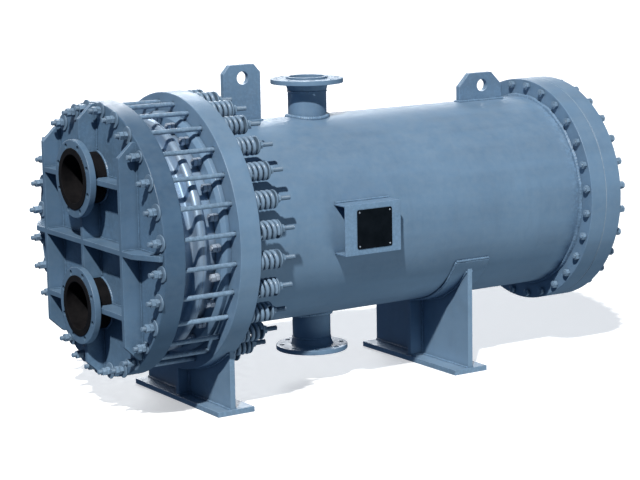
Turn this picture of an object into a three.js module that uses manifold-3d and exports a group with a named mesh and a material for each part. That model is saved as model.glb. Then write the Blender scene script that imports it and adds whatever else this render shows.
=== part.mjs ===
// Shell-and-tube oil cooler with a spring-loaded floating head.
// Millimetres, +Z up. +X runs from the floating head to the rear cover. The floor is at z = 0.
// Inside the cooler group x is measured from the front face of the clamp plate and z from the shell's axis.
import * as THREE from "three";
import { mergeVertices } from "three/addons/utils/BufferGeometryUtils.js";
import Module from "manifold-3d";

const wasm = await Module();
wasm.setup();

const GAP = 0.3; // between pieces that touch
const AXIS_HEIGHT = 578; // shell axis above the floor
const ROUND = 42; // sides of the large rings
const HIDDEN_ROUND = 28; // sides of the rings inside
const PIPE_ROUND = 20;

// Floating head
const PLATE_RADIUS = 450;
const PLATE_THICK = 73;
const HEADER_RADIUS = 345;
const HEADER_BORE = 322;
const HEADER_FLANGE_RADIUS = 393;
const HEADER_FLANGE_START = 152;
const HEADER_FLANGE_THICK = 15;
const HEADER_GASKET_THICK = 2;
const SKIRT_RADIUS = 347; // the tubesheet's rim that slides in the packing
const SKIRT_END = 330;
const TUBESHEET_THICK = 80;

// Stiffening ribs on the clamp plate
const RIB_THICK = 18;
const RIB_DEPTH = 63;
const RIB_OFFSET = 273; // from the centre to each vertical rib
const RIB_HALF_HEIGHT = 348;
const RIB_CHAMFER = 46;
const RIB_CREST = 14; // width of a rib's end beside the plate
const CENTRE_RIB_TOP = 446;
const WING_FULL_REACH = 345;
const WING_TIP_REACH = 440;

// Water nozzles on the clamp plate
const WATER_NOZZLE_HEIGHT = 208; // above and below the axis
const WATER_PIPE_RADIUS = 84;
const WATER_BORE = 79;
const WATER_FLANGE_RADIUS = 127;
const WATER_FLANGE_FACE = -87;
const WATER_FLANGE_THICK = 22;
const WATER_FACE_RADIUS = 100;
const RAISED_FACE = 3;
const WATER_HOLE_CIRCLE = 111;
const WATER_HOLE_RADIUS = 9;

// Tie rods and their springs
const ROD_COUNT = 28;
const ROD_CIRCLE = 430;
const ROD_RADIUS = 8;
const NUT_RADIUS = 13.9; // across corners, M16
const NUT_HEIGHT = 14;
const WASHER_THICK = 5;
const WASHER_RADIUS = 27;
const WASHER_RADIUS_BY_RIB = 20; // where an upright rib is close
const ROD_FRONT_TIP = -47;
const ROD_REAR_TIP = 481;
const SPRING_LENGTH = 76;
const SPRING_RADIUS = 32;
const SPRING_BORE = 18;
const SPRING_CAP_THICK = 13;
const SPRING_SEAT_THICK = 2;
const CLEARANCE_HOLE = 10;

// Spring flange, its stuffing box and the gland
const SPRING_FLANGE_RADIUS = 463;
const SPRING_FLANGE_START = 262;
const SPRING_FLANGE_END = 338;
const STUFFING_BORE = 360;
const PACKING_START = 292;
const GLAND_RADIUS = 402;
const GLAND_START = 236;
const GLAND_STUD_COUNT = 24;
const GLAND_STUD_CIRCLE = 374;
const GLAND_STUD_TIP = 206;

// Shell and its rear joint
const SHELL_RADIUS = 344;
const SHELL_WALL = 10;
const REAR_FLANGE_START = 1736;
const REAR_FLANGE_THICK = 66;
const REAR_FLANGE_RADIUS = 407;
const REAR_GASKET_THICK = 3;
const COVER_THICK = 66;
const RETURN_CHAMBER_DEPTH = 40;
const REAR_BOLT_COUNT = 28;
const REAR_BOLT_CIRCLE = 387;
const REAR_BOLT_TIP = 14;
const REAR_TUBESHEET_RADIUS = 361.5;
const REAR_TUBESHEET_START = 1745;

// Oil nozzles on the shell
const OIL_NOZZLE_X = 809;
const OIL_PIPE_RADIUS = 66.5;
const OIL_BORE = 60.5;
const OIL_FLANGE_RADIUS = 125;
const OIL_FLANGE_THICK = 16;
const OIL_FLANGE_FACE = 473; // from the axis
const OIL_RAISED_FACE = 480;
const OIL_FACE_RADIUS = 72;
const OIL_HOLE_CIRCLE = 105;

// Lifting lugs
const LUG_THICK = 22;
const FRONT_LUG = { start: 475, end: 618, top: 536, chamferRun: 25, chamferRise: 28, eye: [549, 491, 22] };
const REAR_LUG = { start: 1450, end: 1638, top: 444, chamferRun: 45, chamferRise: 46, eye: [1551, 398, 22] };

// Nameplate and its bracket
const BRACKET = { start: 696, end: 917, low: -80, high: 90, face: 400, wall: 6 };
const NAMEPLATE = { start: 742, end: 880, low: -60, high: 71, thick: 2 };

// Saddles
const BASE_HALF_WIDTH = 290;
const BASE_LENGTH = 138;
const BASE_THICK = 18;
const WEB_THICK = 19;
const FRONT_BASE_START = 262;
const FRONT_WEB_START = 312;
const REAR_BASE_START = 1217;
const REAR_WEB_START = 1277;
const WEAR_PLATE_THICK = 8;
const WEAR_PLATE_ARC = 120;

// Tube bundle, with twelve thick tubes for the whole nest
const TUBE_RADIUS = 24;
const TUBE_PLACES = [[90, 220], [65, 95], [195, 95]];
const TUBE_START = 252;
const BAFFLE_THICK = 10;
const BAFFLE_RADIUS = 326;
const BAFFLE_CUT = 160; // from the axis to the window's edge
const MIDDLE_BAFFLE_CUT = 250; // a small window, so that the plate holds every tube
const BAFFLE_PLACES = [600, 1040, 1480];

const rearFlangeEnd = REAR_FLANGE_START + REAR_FLANGE_THICK;
const coverStart = rearFlangeEnd + REAR_GASKET_THICK;
const coverEnd = coverStart + COVER_THICK;
const rearTip = coverEnd + NUT_HEIGHT + REAR_BOLT_TIP;
const frontEnd = WATER_FLANGE_FACE - RAISED_FACE;
const skirtStart = HEADER_FLANGE_START + 2 * HEADER_FLANGE_THICK + HEADER_GASKET_THICK;

const PAINT = { color: 0x7d97af, roughness: 0.45, metalness: 0.1 };
const FINISHES = {
  paint: PAINT,
  springs: { color: 0x98afc2, roughness: 0.4, metalness: 0.2 },
  bareSteel: { color: 0x9da6ad, roughness: 0.35, metalness: 0.9 },
  brass: { color: 0xb08d4a, roughness: 0.4, metalness: 0.9 },
  packing: { color: 0x3a3c3e, roughness: 0.9, metalness: 0 },
  gasket: { color: 0xb9bfc2, roughness: 0.8, metalness: 0 },
  nameplate: { color: 0x101418, roughness: 0.35, metalness: 0.1 },
};

const cooler = new THREE.Group();
cooler.position.set(-(frontEnd + rearTip) / 2, 0, AXIS_HEIGHT);

// ---- Solids ----

function solidOf(geometry) {
  const bare = new THREE.BufferGeometry();
  bare.setAttribute("position", geometry.getAttribute("position"));
  if (geometry.index) bare.setIndex(geometry.index);
  const merged = mergeVertices(bare, 1e-4);
  const vertProperties = merged.attributes.position.array;
  const triVerts = new Uint32Array(merged.index.array);
  const made = new wasm.Manifold(new wasm.Mesh({ numProp: 3, vertProperties, triVerts }));
  if (made.volume() > 0) return made;
  for (let i = 0; i < triVerts.length; i += 3) {
    [triVerts[i + 1], triVerts[i + 2]] = [triVerts[i + 2], triVerts[i + 1]];
  }
  return new wasm.Manifold(new wasm.Mesh({ numProp: 3, vertProperties, triVerts }));
}

function union(solids) {
  return solids.reduce((whole, next) => whole.add(next));
}

function without(solid, cutters) {
  return cutters.reduce((whole, next) => whole.subtract(next), solid);
}

function addPiece(name, solid, finish = FINISHES.paint) {
  const cut = solid.getMesh();
  const geometry = new THREE.BufferGeometry();
  geometry.setAttribute("position", new THREE.BufferAttribute(cut.vertProperties, 3));
  geometry.setIndex(new THREE.BufferAttribute(cut.triVerts, 1));
  geometry.computeVertexNormals();
  const mesh = new THREE.Mesh(geometry, new THREE.MeshStandardMaterial(finish));
  mesh.name = name;
  cooler.add(mesh);
}

// A turned solid around a line along X. The outline is a closed list of [radius, x].
function turned(outline, { y = 0, z = 0, sides = ROUND } = {}) {
  const points = outline.map(([radius, x]) => new THREE.Vector2(radius, x));
  const first = points[0];
  if (first.x > 0) points.push(first.clone());
  const geometry = new THREE.LatheGeometry(points, sides);
  geometry.rotateZ(-Math.PI / 2);
  geometry.translate(0, y, z);
  return solidOf(geometry);
}

function disc(radius, start, end, place) {
  return turned([[0, start], [radius, start], [radius, end], [0, end]], place);
}

function ring(radius, bore, start, end, place) {
  return turned([[bore, start], [radius, start], [radius, end], [bore, end]], place);
}

// A turned solid around a vertical line, from an outline of [radius, z].
function turnedUpright(outline, x, sides = PIPE_ROUND) {
  const points = outline.map(([radius, z]) => new THREE.Vector2(radius, z));
  if (points[0].x > 0) points.push(points[0].clone());
  const geometry = new THREE.LatheGeometry(points, sides);
  geometry.rotateX(Math.PI / 2);
  geometry.translate(x, 0, 0);
  return solidOf(geometry);
}

function block([x0, x1], [y0, y1], [z0, z1]) {
  const geometry = new THREE.BoxGeometry(x1 - x0, y1 - y0, z1 - z0);
  geometry.translate((x0 + x1) / 2, (y0 + y1) / 2, (z0 + z1) / 2);
  return solidOf(geometry);
}

function shapeOf(points) {
  return new THREE.Shape(points.map(([across, up]) => new THREE.Vector2(across, up)));
}

// A flat plate standing along X, from an outline of [x, z], between two values of y.
function plateAlongX(outline, y0, y1) {
  const geometry = new THREE.ExtrudeGeometry(shapeOf(outline), { depth: y1 - y0, bevelEnabled: false });
  geometry.rotateX(Math.PI / 2);
  geometry.translate(0, y1, 0);
  return solidOf(geometry);
}

// A flat plate standing across X, from an outline of [y, z], between two values of x.
function plateAcrossX(outline, x0, x1) {
  const geometry = new THREE.ExtrudeGeometry(shapeOf(outline), { depth: x1 - x0, bevelEnabled: false });
  geometry.rotateX(Math.PI / 2);
  geometry.rotateZ(Math.PI / 2);
  geometry.translate(x0, 0, 0);
  return solidOf(geometry);
}

// A flat plate lying level, from an outline of [x, y], between two values of z.
function levelPlate(outline, z0, z1) {
  const geometry = new THREE.ExtrudeGeometry(shapeOf(outline), { depth: z1 - z0, bevelEnabled: false });
  geometry.translate(0, 0, z0);
  return solidOf(geometry);
}

// Places evenly round a circle. The first is half a pitch from the horizontal.
function circlePlaces(count, radius, firstPitch = 0.5) {
  return Array.from({ length: count }, (_, i) => {
    const angle = ((i + firstPitch) * 2 * Math.PI) / count;
    return { y: radius * Math.cos(angle), z: radius * Math.sin(angle) };
  });
}

function holesThrough(places, radius, start, end) {
  return places.map((place) => disc(radius, start, end, { ...place, sides: 6 }));
}

// ---- Floating head ----

const rodPlaces = circlePlaces(ROD_COUNT, ROD_CIRCLE);

function addClampPlate() {
  const rodHoles = holesThrough(rodPlaces, CLEARANCE_HOLE, -1, PLATE_THICK + 1);
  const nozzleHoles = [1, -1].map((side) =>
    disc(WATER_PIPE_RADIUS + 1.5, -1, PLATE_THICK + 1, {
      z: side * WATER_NOZZLE_HEIGHT,
      sides: PIPE_ROUND,
    }),
  );
  addPiece("clamp_plate", without(disc(PLATE_RADIUS, 0, PLATE_THICK), [...rodHoles, ...nozzleHoles]));
}

// Two upright ribs, a level rib with tapered wings, a short centre rib and a gusset beside each nozzle.
function addRibGrid() {
  const shoulder = RIB_HALF_HEIGHT - RIB_CHAMFER;
  const upright = [
    [-GAP, -RIB_HALF_HEIGHT],
    [-GAP, RIB_HALF_HEIGHT],
    [-RIB_CREST, RIB_HALF_HEIGHT],
    [-RIB_DEPTH, shoulder],
    [-RIB_DEPTH, -shoulder],
    [-RIB_CREST, -RIB_HALF_HEIGHT],
  ];
  const level = [
    [-GAP, -WING_TIP_REACH],
    [-GAP, WING_TIP_REACH],
    [-RIB_CREST, WING_TIP_REACH],
    [-RIB_DEPTH, WING_FULL_REACH],
    [-RIB_DEPTH, -WING_FULL_REACH],
    [-RIB_CREST, -WING_TIP_REACH],
  ];
  const half = RIB_THICK / 2;
  const front = [-RIB_DEPTH, -GAP];
  const neck = WATER_PIPE_RADIUS + 1;
  const plates = [levelPlate(level, -half, half)];
  const centreReach = WATER_NOZZLE_HEIGHT - neck;
  plates.push(block(front, [-half, half], [-centreReach, centreReach]));
  for (const side of [1, -1]) {
    const y = side * RIB_OFFSET;
    plates.push(plateAlongX(upright, y - half, y + half));
    for (const nozzle of [1, -1]) {
      const z = nozzle * WATER_NOZZLE_HEIGHT;
      const reach = [side * neck, y].sort((a, b) => a - b);
      plates.push(block(front, reach, [z - half, z + half]));
    }
  }
  addPiece("rib_grid", union(plates));
}

// A water nozzle with its flange and the centre rib welded to its neck.
function addWaterNozzle(name, side) {
  const centre = { z: side * WATER_NOZZLE_HEIGHT };
  const flangeBack = WATER_FLANGE_FACE + WATER_FLANGE_THICK;
  const body = turned(
    [
      [WATER_BORE, frontEnd],
      [WATER_FACE_RADIUS, frontEnd],
      [WATER_FACE_RADIUS, WATER_FLANGE_FACE],
      [WATER_FLANGE_RADIUS, WATER_FLANGE_FACE],
      [WATER_FLANGE_RADIUS, flangeBack],
      [WATER_PIPE_RADIUS, flangeBack],
      [WATER_PIPE_RADIUS, PLATE_THICK],
      [WATER_BORE, PLATE_THICK],
    ],
    { ...centre, sides: PIPE_ROUND },
  );
  const places = circlePlaces(8, WATER_HOLE_CIRCLE).map(({ y, z }) => ({ y, z: z + centre.z }));
  const holes = holesThrough(places, WATER_HOLE_RADIUS, frontEnd - 1, flangeBack + 1);
  const low = side * (WATER_NOZZLE_HEIGHT + WATER_PIPE_RADIUS - 2);
  const high = side * CENTRE_RIB_TOP;
  const rib = [
    [-GAP, low],
    [-RIB_DEPTH, low],
    [-RIB_DEPTH, high - side * RIB_CHAMFER],
    [-RIB_CREST, high],
    [-GAP, high],
  ];
  const gusset = plateAlongX(side > 0 ? rib : rib.reverse(), -RIB_THICK / 2, RIB_THICK / 2);
  addPiece(name, without(body.add(gusset), holes));
}

function addHeader() {
  const flangeEnd = HEADER_FLANGE_START + HEADER_FLANGE_THICK;
  const outline = [
    [HEADER_BORE, PLATE_THICK + GAP],
    [HEADER_RADIUS, PLATE_THICK + GAP],
    [HEADER_RADIUS, HEADER_FLANGE_START],
    [HEADER_FLANGE_RADIUS, HEADER_FLANGE_START],
    [HEADER_FLANGE_RADIUS, flangeEnd],
    [HEADER_BORE, flangeEnd],
  ];
  addPiece("water_header", turned(outline, { sides: HIDDEN_ROUND }), FINISHES.bareSteel);
  const gasketEnd = flangeEnd + HEADER_GASKET_THICK;
  const gasket = ring(HEADER_FLANGE_RADIUS - 5, HEADER_BORE, flangeEnd + GAP, gasketEnd - GAP, {
    sides: HIDDEN_ROUND,
  });
  addPiece("header_gasket", gasket, FINISHES.gasket);
}

function tubePlaces() {
  return TUBE_PLACES.flatMap(([y, z]) => [{ y, z }, { y: -y, z }, { y, z: -z }, { y: -y, z: -z }]);
}

function tubeHoles(start, end) {
  return holesThrough(tubePlaces(), TUBE_RADIUS + 1, start, end);
}

function addFloatingTubesheet() {
  const start = HEADER_FLANGE_START + HEADER_FLANGE_THICK + HEADER_GASKET_THICK;
  const plateStart = SKIRT_END - TUBESHEET_THICK;
  const outline = [
    [0, plateStart],
    [HEADER_BORE, plateStart],
    [HEADER_BORE, start],
    [HEADER_FLANGE_RADIUS, start],
    [HEADER_FLANGE_RADIUS, skirtStart],
    [SKIRT_RADIUS, skirtStart],
    [SKIRT_RADIUS, SKIRT_END],
    [0, SKIRT_END],
  ];
  const whole = turned(outline, { sides: HIDDEN_ROUND });
  const body = without(whole, tubeHoles(plateStart - 1, SKIRT_END + 1));
  addPiece("floating_tubesheet", body, FINISHES.bareSteel);
  const partition = block(
    [PLATE_THICK + GAP, plateStart - GAP],
    [4 - HEADER_BORE, HEADER_BORE - 4],
    [-6, 6],
  );
  addPiece("pass_partition", partition, FINISHES.bareSteel);
}

// A rod with its two front nuts and washer, its spring cap and the nut behind it, in one turned outline.
function addTieRods() {
  const capStart = SPRING_FLANGE_END + GAP + SPRING_LENGTH + GAP;
  const capEnd = capStart + SPRING_CAP_THICK;
  const nutsEnd = -WASHER_THICK - 2 * NUT_HEIGHT;
  rodPlaces.forEach((place, i) => {
    const byRib = Math.abs(place.y) > RIB_OFFSET && Math.abs(place.z) > RIB_HALF_HEIGHT - RIB_CHAMFER;
    const washer = byRib ? WASHER_RADIUS_BY_RIB : WASHER_RADIUS;
    const outline = [
      [0, ROD_FRONT_TIP],
      [ROD_RADIUS, ROD_FRONT_TIP],
      [ROD_RADIUS, nutsEnd],
      [NUT_RADIUS, nutsEnd],
      [NUT_RADIUS, -WASHER_THICK],
      [washer, -WASHER_THICK],
      [washer, -GAP],
      [ROD_RADIUS, -GAP],
      [ROD_RADIUS, capStart],
      [SPRING_RADIUS - 1, capStart],
      [SPRING_RADIUS - 1, capEnd],
      [NUT_RADIUS, capEnd],
      [NUT_RADIUS, capEnd + NUT_HEIGHT],
      [ROD_RADIUS, capEnd + NUT_HEIGHT],
      [ROD_RADIUS, ROD_REAR_TIP],
      [0, ROD_REAR_TIP],
    ];
    const name = "tie_rod_" + String(i + 1).padStart(2, "0");
    addPiece(name, turned(outline, { ...place, sides: 6 }));
  });
}

// ---- Shell side ----

function addSpringFlange() {
  const body = ring(SPRING_FLANGE_RADIUS, STUFFING_BORE, SPRING_FLANGE_START, SPRING_FLANGE_END);
  const holes = holesThrough(rodPlaces, CLEARANCE_HOLE, SPRING_FLANGE_START - 1, SPRING_FLANGE_END + 1);
  const lip = ring(STUFFING_BORE + 1, SHELL_RADIUS - SHELL_WALL, SKIRT_END + 1, SPRING_FLANGE_END);
  addPiece("spring_flange", without(body.add(lip), holes));
}

// The springs as plain sleeves, joined by the thin seat ring that they stand on.
function addSpringSet() {
  const start = SPRING_FLANGE_END + GAP;
  const seat = ring(ROD_CIRCLE + 12, ROD_CIRCLE - 12, start, start + SPRING_SEAT_THICK, {
    sides: HIDDEN_ROUND,
  });
  const sleeves = rodPlaces.map((place) =>
    disc(SPRING_RADIUS, start, start + SPRING_LENGTH, { ...place, sides: 6 }),
  );
  const bores = holesThrough(rodPlaces, SPRING_BORE, start - 1, start + SPRING_LENGTH + 1);
  addPiece("spring_set", without(union([seat, ...sleeves]), bores), FINISHES.springs);
}

function addStuffingBox() {
  const hidden = { sides: HIDDEN_ROUND };
  const packing = ring(STUFFING_BORE - 1.5, SKIRT_RADIUS + 1.5, PACKING_START, SKIRT_END, hidden);
  addPiece("packing_ring", packing, FINISHES.packing);
  const noseEnd = PACKING_START - GAP;
  const follower = turned([
    [SKIRT_RADIUS + 1.5, GLAND_START],
    [GLAND_RADIUS, GLAND_START],
    [GLAND_RADIUS, SPRING_FLANGE_START - GAP],
    [STUFFING_BORE - 1.5, SPRING_FLANGE_START - GAP],
    [STUFFING_BORE - 1.5, noseEnd],
    [SKIRT_RADIUS + 1.5, noseEnd],
  ], hidden);
  const nuts = circlePlaces(GLAND_STUD_COUNT, GLAND_STUD_CIRCLE, 0).map((place) =>
    disc(NUT_RADIUS, GLAND_STUD_TIP, GLAND_START + 1, { ...place, sides: 6 }),
  );
  addPiece("gland_follower", union([follower, ...nuts]));
}

function addShellBarrel() {
  const start = SPRING_FLANGE_END + GAP;
  const body = ring(SHELL_RADIUS, SHELL_RADIUS - SHELL_WALL, start, REAR_FLANGE_START - GAP);
  const opening = turnedUpright(
    [[0, -SHELL_RADIUS - 10], [OIL_PIPE_RADIUS + 1, -SHELL_RADIUS - 10],
      [OIL_PIPE_RADIUS + 1, SHELL_RADIUS + 10], [0, SHELL_RADIUS + 10]],
    OIL_NOZZLE_X,
  );
  addPiece("shell_barrel", body.subtract(opening));
}

function addRearJoint() {
  const boltPlaces = circlePlaces(REAR_BOLT_COUNT, REAR_BOLT_CIRCLE);
  const holes = holesThrough(boltPlaces, CLEARANCE_HOLE, REAR_FLANGE_START - 1, coverEnd + 1);
  const seat = REAR_TUBESHEET_RADIUS + 1;
  const flange = turned([
    [SHELL_RADIUS - SHELL_WALL, REAR_FLANGE_START],
    [REAR_FLANGE_RADIUS, REAR_FLANGE_START],
    [REAR_FLANGE_RADIUS, rearFlangeEnd],
    [seat, rearFlangeEnd],
    [seat, REAR_TUBESHEET_START],
    [SHELL_RADIUS - SHELL_WALL, REAR_TUBESHEET_START],
  ]);
  addPiece("rear_shell_flange", without(flange, holes));

  const hidden = { sides: HIDDEN_ROUND };
  const sheetStart = REAR_TUBESHEET_START + GAP;
  const sheet = disc(REAR_TUBESHEET_RADIUS - 2, sheetStart, rearFlangeEnd - GAP, hidden);
  const sheetHoles = tubeHoles(sheetStart - 1, rearFlangeEnd + 1);
  addPiece("rear_tubesheet", without(sheet, sheetHoles), FINISHES.bareSteel);

  const gasket = ring(REAR_TUBESHEET_RADIUS + 10, HEADER_BORE, rearFlangeEnd + GAP, coverStart - GAP, hidden);
  addPiece("rear_gasket", gasket, FINISHES.gasket);

  const chamberEnd = coverStart + RETURN_CHAMBER_DEPTH;
  const cover = turned([
    [0, chamberEnd],
    [HEADER_BORE, chamberEnd],
    [HEADER_BORE, coverStart],
    [REAR_FLANGE_RADIUS, coverStart],
    [REAR_FLANGE_RADIUS, coverEnd],
    [0, coverEnd],
  ]);
  addPiece("rear_cover", without(cover, holes));
  addPiece("rear_flange_bolts", rearBolts(boltPlaces));
}

// Stud bolts with a nut at each end, joined by a thin ring in the gasket's gap.
function rearBolts(places) {
  const link = ring(REAR_BOLT_CIRCLE + 6, REAR_BOLT_CIRCLE - 6, rearFlangeEnd + 1, coverStart - 1, {
    sides: REAR_BOLT_COUNT,
  });
  const front = REAR_FLANGE_START - GAP;
  const rear = coverEnd + GAP;
  const outline = [
    [0, front - NUT_HEIGHT],
    [NUT_RADIUS, front - NUT_HEIGHT],
    [NUT_RADIUS, front],
    [ROD_RADIUS, front],
    [ROD_RADIUS, rear],
    [NUT_RADIUS, rear],
    [NUT_RADIUS, rearTip],
    [0, rearTip],
  ];
  return union([link, ...places.map((place) => turned(outline, { ...place, sides: 6 }))]);
}

function baffle(x, cutSide, cutPlace = BAFFLE_CUT) {
  const plate = disc(BAFFLE_RADIUS, x, x + BAFFLE_THICK, { sides: HIDDEN_ROUND });
  const beyond = cutSide * (BAFFLE_RADIUS + 10);
  const cut = [cutSide * cutPlace, beyond].sort((a, b) => a - b);
  return plate.subtract(block([x - 1, x + BAFFLE_THICK + 1], [-BAFFLE_RADIUS, BAFFLE_RADIUS], cut));
}

// The tubes pass through the middle baffle, which is one piece with them. The outer baffles clear them.
function addTubeBundle() {
  const [front, middle, rear] = BAFFLE_PLACES;
  const tubes = tubePlaces().map((place) =>
    disc(TUBE_RADIUS, TUBE_START, rearFlangeEnd - GAP, { ...place, sides: 6 }),
  );
  addPiece("tube_bundle", union([baffle(middle, -1, MIDDLE_BAFFLE_CUT), ...tubes]), FINISHES.brass);
  for (const [name, x] of [["front_baffle", front], ["rear_baffle", rear]]) {
    const plate = without(baffle(x, 1), tubeHoles(x - 1, x + BAFFLE_THICK + 1));
    addPiece(name, plate, FINISHES.bareSteel);
  }
}

function addOilNozzle(name, side) {
  const inner = SHELL_RADIUS - 28;
  const flangeBack = OIL_FLANGE_FACE - OIL_FLANGE_THICK;
  const outline = [
    [OIL_BORE, inner],
    [OIL_PIPE_RADIUS, inner],
    [OIL_PIPE_RADIUS, flangeBack - 22],
    [OIL_PIPE_RADIUS + 4, flangeBack],
    [OIL_FLANGE_RADIUS, flangeBack],
    [OIL_FLANGE_RADIUS, OIL_FLANGE_FACE],
    [OIL_FACE_RADIUS, OIL_FLANGE_FACE],
    [OIL_FACE_RADIUS, OIL_RAISED_FACE],
    [OIL_BORE, OIL_RAISED_FACE],
  ].map(([radius, z]) => [radius, side * z]);
  const holes = circlePlaces(8, OIL_HOLE_CIRCLE).map(({ y, z }) => {
    const geometry = new THREE.CylinderGeometry(9, 9, 2 * OIL_FLANGE_THICK, 6);
    geometry.rotateX(Math.PI / 2);
    geometry.translate(OIL_NOZZLE_X + y, z, side * OIL_FLANGE_FACE);
    return solidOf(geometry);
  });
  addPiece(name, without(turnedUpright(outline, OIL_NOZZLE_X), holes));
}

function addLug(name, lug) {
  const foot = SHELL_RADIUS + GAP;
  const outline = [
    [lug.start, foot],
    [lug.end, foot],
    [lug.end, lug.top - lug.chamferRise],
    [lug.end - lug.chamferRun, lug.top],
    [lug.start + lug.chamferRun, lug.top],
    [lug.start, lug.top - lug.chamferRise],
  ];
  const [x, z, radius] = lug.eye;
  const eye = new THREE.CylinderGeometry(radius, radius, 2 * LUG_THICK, 16);
  eye.translate(x, 0, z);
  addPiece(name, plateAlongX(outline, -LUG_THICK / 2, LUG_THICK / 2).subtract(solidOf(eye)));
}

// A channel on the near side of the shell: a face plate and a top and bottom plate welded to the shell.
function addNameplate() {
  const { start, end, low, high, face, wall } = BRACKET;
  const outline = [
    [-face, low],
    [-300, low],
    [-300, low + wall],
    [wall - face, low + wall],
    [wall - face, high - wall],
    [-300, high - wall],
    [-300, high],
    [-face, high],
  ];
  const shell = disc(SHELL_RADIUS + GAP, start - 1, end + 1);
  addPiece("nameplate_bracket", plateAcrossX(outline, start, end).subtract(shell));
  const front = -face - GAP;
  const plate = block(
    [NAMEPLATE.start, NAMEPLATE.end],
    [front - NAMEPLATE.thick, front],
    [NAMEPLATE.low, NAMEPLATE.high],
  );
  addPiece("nameplate", plate, FINISHES.nameplate);
}

// A saddle: base plate, a web across X and a gusset along X, both cut to the curve that they carry.
function addSaddle(name, baseStart, webStart, carriedRadius) {
  const floor = -AXIS_HEIGHT;
  const base = floor + BASE_THICK;
  const half = BASE_HALF_WIDTH - 4;
  const gussetInset = 8;
  const pieces = [
    block([baseStart, baseStart + BASE_LENGTH], [-BASE_HALF_WIDTH, BASE_HALF_WIDTH], [floor, base]),
    block([webStart, webStart + WEB_THICK], [-half, half], [base - 1, -100]),
    block(
      [baseStart + gussetInset, baseStart + BASE_LENGTH - gussetInset],
      [-WEB_THICK / 2, WEB_THICK / 2],
      [base - 1, -100],
    ),
  ];
  const carried = carriedRadius.map(([radius, start, end]) => disc(radius + GAP, start, end));
  addPiece(name, without(union(pieces), carried));
}

function addSupports() {
  const flangeEnd = SPRING_FLANGE_END + GAP;
  const springRoom = ROD_CIRCLE + SPRING_RADIUS + 5;
  addSaddle("front_saddle", FRONT_BASE_START, FRONT_WEB_START, [
    [SPRING_FLANGE_RADIUS, 0, flangeEnd],
    [springRoom, flangeEnd - 1, FRONT_BASE_START + BASE_LENGTH + 1],
  ]);
  const wearRadius = SHELL_RADIUS + GAP + WEAR_PLATE_THICK;
  const rearEnd = REAR_BASE_START + BASE_LENGTH;
  addSaddle("rear_saddle", REAR_BASE_START, REAR_WEB_START, [
    [wearRadius, REAR_BASE_START - 1, rearEnd + 1],
  ]);
  const top = -wearRadius * Math.cos(THREE.MathUtils.degToRad(WEAR_PLATE_ARC / 2));
  const below = block([REAR_BASE_START, rearEnd], [-wearRadius, wearRadius], [-wearRadius - 5, top]);
  const plate = ring(wearRadius, SHELL_RADIUS + GAP, REAR_BASE_START, rearEnd);
  addPiece("rear_wear_plate", plate.intersect(below));
}

addClampPlate();
addRibGrid();
addWaterNozzle("upper_water_nozzle", 1);
addWaterNozzle("lower_water_nozzle", -1);
addHeader();
addFloatingTubesheet();
addTieRods();
addSpringFlange();
addSpringSet();
addStuffingBox();
addShellBarrel();
addRearJoint();
addTubeBundle();
addOilNozzle("top_oil_nozzle", 1);
addOilNozzle("bottom_oil_nozzle", -1);
addLug("front_lifting_lug", FRONT_LUG);
addLug("rear_lifting_lug", REAR_LUG);
addNameplate();
addSupports();

export default cooler;
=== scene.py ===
"""Hydraulic oil cooler with a spring-loaded floating head.

Detailed looks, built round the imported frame. Shapes are written in millimetres in the cooler's own
axes: x from the clamp plate's front face towards the rear cover, y away from the near side, z up
from the shell's axis. IN_FRAME turns them into the frame's metres.
"""

import math
import random

import bmesh
import bpy
from mathutils import Matrix, Vector


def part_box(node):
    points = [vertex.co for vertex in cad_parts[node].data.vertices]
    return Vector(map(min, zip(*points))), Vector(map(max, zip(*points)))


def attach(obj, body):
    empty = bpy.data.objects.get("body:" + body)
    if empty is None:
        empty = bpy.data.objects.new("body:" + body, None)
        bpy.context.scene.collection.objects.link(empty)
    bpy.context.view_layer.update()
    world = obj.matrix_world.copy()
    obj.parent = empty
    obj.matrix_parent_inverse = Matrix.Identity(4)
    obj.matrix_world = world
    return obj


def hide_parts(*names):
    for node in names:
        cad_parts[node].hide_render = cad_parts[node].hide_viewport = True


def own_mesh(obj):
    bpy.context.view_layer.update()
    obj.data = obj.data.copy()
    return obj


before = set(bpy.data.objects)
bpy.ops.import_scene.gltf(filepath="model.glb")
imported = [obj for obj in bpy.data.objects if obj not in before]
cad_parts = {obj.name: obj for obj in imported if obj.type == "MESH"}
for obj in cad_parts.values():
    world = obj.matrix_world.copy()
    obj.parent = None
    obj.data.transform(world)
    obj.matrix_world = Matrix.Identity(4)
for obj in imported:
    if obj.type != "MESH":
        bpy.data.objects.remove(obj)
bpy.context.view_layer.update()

MM = 0.001
TAU = 2 * math.pi
SHELL, HEAD = "shell", "floating_head"
AHEAD, ACROSS, UPWARD = Vector((1, 0, 0)), Vector((0, 1, 0)), Vector((0, 0, 1))

plate_low, plate_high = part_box("clamp_plate")
ORIGIN = Vector((plate_low.x, 0, (plate_low.z + plate_high.z) / 2))
IN_FRAME = Matrix.Translation(ORIGIN) @ Matrix.Scale(MM, 4)
FLOOR = -ORIGIN.z / MM


def span(node, axis=0):
    """A CAD node's extent along an axis, in the cooler's millimetres."""
    low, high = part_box(node)
    return (low[axis] - ORIGIN[axis]) / MM, (high[axis] - ORIGIN[axis]) / MM


# ---- Driving dimensions, in mm ----

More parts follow.
